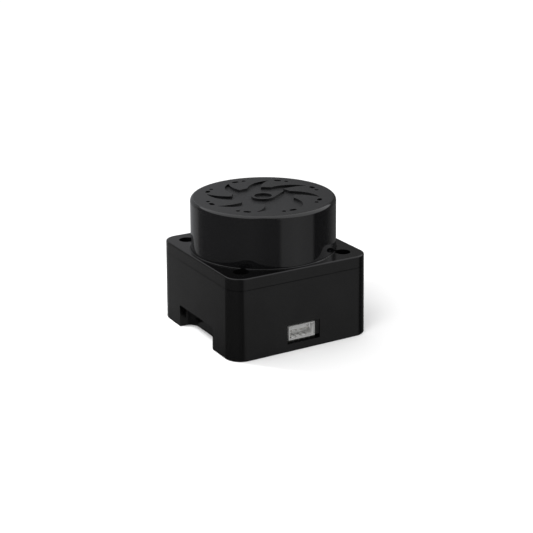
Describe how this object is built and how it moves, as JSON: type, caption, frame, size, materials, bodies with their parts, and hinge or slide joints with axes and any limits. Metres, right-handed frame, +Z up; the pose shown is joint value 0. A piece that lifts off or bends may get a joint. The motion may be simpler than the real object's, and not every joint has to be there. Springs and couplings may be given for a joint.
{
  "type": "lidar scanner module",
  "caption": "Small spinning lidar scanner module: a square base with a side cable socket and underside screw holes, and a round motor-driven ranging head on top.",
  "frame": {"origin": "centre of the base's underside, on the spin axis", "axes": "+Z up along the head's spin axis, -Y out of the cable socket; +X is where the optics look with the head at rest"},
  "size_m": [0.0386, 0.0386, 0.0335],
  "materials": {
    "housing_plastic": "fine satin moulded black",
    "head_plastic": "glossy infrared-pass black, satin roof",
    "connector_nylon": "natural grey-white nylon",
    "tinned_contact": "bright tinned",
    "circuit_board": "solder mask over glass epoxy",
    "chip_epoxy": "moulded epoxy",
    "sensor_plastic": "moulded",
    "clear_epoxy": "water-clear epoxy",
    "black_steel": "black oxide",
    "plated_steel": "zinc plated",
    "turned_brass": "turned",
    "lamination_steel": "stacked laminations",
    "magnet_wire": "enamelled copper wire",
    "bearing_steel": "ground and polished",
    "cage_nylon": "moulded nylon",
    "ferrite_sheet": "sintered sheet",
    "ground_steel": "ground",
    "pressed_steel": "pressed and plated",
    "magnet_ceramic": "sintered",
    "optics_plastic": "matt black moulded",
    "lens_glass": "polished",
    "laser_can": "gold-plated can"
  },
  "bodies": {
    "base": {"base_housing": "housing_plastic", "top_cover": "housing_plastic", "cover_screws": "black_steel", "base_board": "circuit_board", "base_board_chips": "chip_epoxy", "connector_shell": "connector_nylon", "connector_pins": "tinned_contact", "board_edge_pads": "tinned_contact", "encoder_sensor": "sensor_plastic", "link_photodiode": "clear_epoxy", "bearing_tube": "turned_brass", "motor_screws": "plated_steel", "stator_core": "lamination_steel", "stator_windings": "magnet_wire", "lower_bearing_outer_race": "bearing_steel", "upper_bearing_outer_race": "bearing_steel", "primary_ferrite": "ferrite_sheet", "primary_coil": "magnet_wire"},
    "head": {"lower_bearing_inner_race": "bearing_steel", "upper_bearing_inner_race": "bearing_steel", "secondary_ferrite": "ferrite_sheet", "secondary_coil": "magnet_wire", "shaft": "ground_steel", "shaft_clip": "plated_steel", "rotor_cup": "pressed_steel", "rotor_magnets": "magnet_ceramic", "encoder_ring": "housing_plastic", "rotor_chassis": "housing_plastic", "rotor_board": "circuit_board", "rotor_board_chips": "chip_epoxy", "rotor_board_screws": "plated_steel", "link_emitter": "clear_epoxy", "optics_block": "optics_plastic", "optics_block_screws": "plated_steel", "receiver_lens": "lens_glass", "emitter_lens": "lens_glass", "receiver_board": "circuit_board", "emitter_board": "circuit_board", "laser_diode": "laser_can", "receiver_sensor": "sensor_plastic", "board_link_pins": "tinned_contact", "head_cap": "head_plastic"},
    "lower_ball_set": {"lower_bearing_balls": "bearing_steel", "lower_bearing_cage": "cage_nylon"},
    "upper_ball_set": {"upper_bearing_balls": "bearing_steel", "upper_bearing_cage": "cage_nylon"}
  },
  "joints": [
    {"name": "head_spin", "type": "hinge", "parent": "base", "child": "head", "pos_m": [0, 0, 0.0205], "axis": [0, 0, 1], "continuous": true},
    {"name": "lower_cage_spin", "type": "hinge", "parent": "base", "child": "lower_ball_set", "pos_m": [0, 0, 0.00725], "axis": [0, 0, 1], "continuous": true},
    {"name": "upper_cage_spin", "type": "hinge", "parent": "base", "child": "upper_ball_set", "pos_m": [0, 0, 0.01405], "axis": [0, 0, 1], "continuous": true}
  ],
  "couplings": [
    {"joint": "lower_cage_spin", "follows": "head_spin", "ratio": 0.4111},
    {"joint": "upper_cage_spin", "follows": "head_spin", "ratio": 0.4111}
  ]
}
